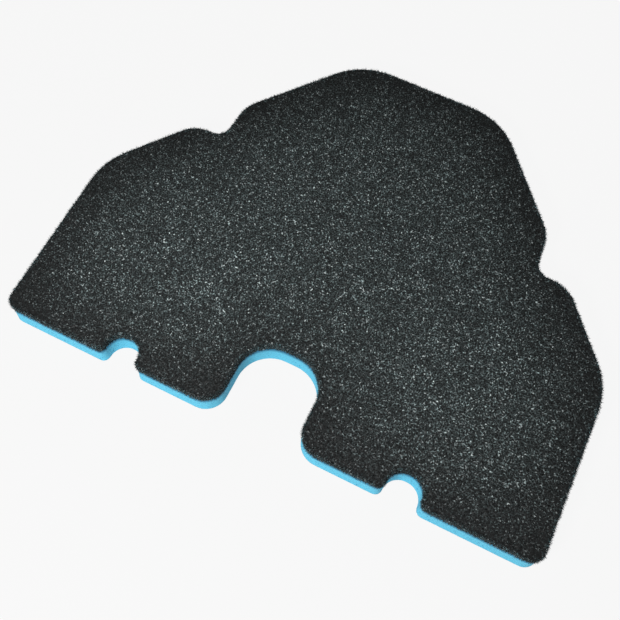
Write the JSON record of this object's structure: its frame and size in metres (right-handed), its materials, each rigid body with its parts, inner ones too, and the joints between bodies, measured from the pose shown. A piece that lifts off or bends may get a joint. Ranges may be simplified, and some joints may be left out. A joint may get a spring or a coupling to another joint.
{
  "type": "sponge filter",
  "caption": "Flat two-layer foam filter pad, coarse dark foam bonded to finer blue foam, die-cut with a U-shaped centre notch and small rounded notches.",
  "frame": {"origin": "centre of the bounding box on the bottom (blue) face, which is the face the pad lies on", "axes": "+X along the straight front edge, which is the pad's longest extent; +Y from the straight front edge to the narrow back edge; +Z through the thickness, from the blue layer to the dark layer"},
  "size_m": [0.2526, 0.197, 0.015],
  "materials": {
    "charcoal_foam": "matte",
    "blue_foam": "matte",
    "adhesive_net": "satin"
  },
  "bodies": {
    "root": {"upper_foam": "charcoal_foam", "lower_foam": "blue_foam", "bond_net": "adhesive_net"}
  },
  "joints": []
}
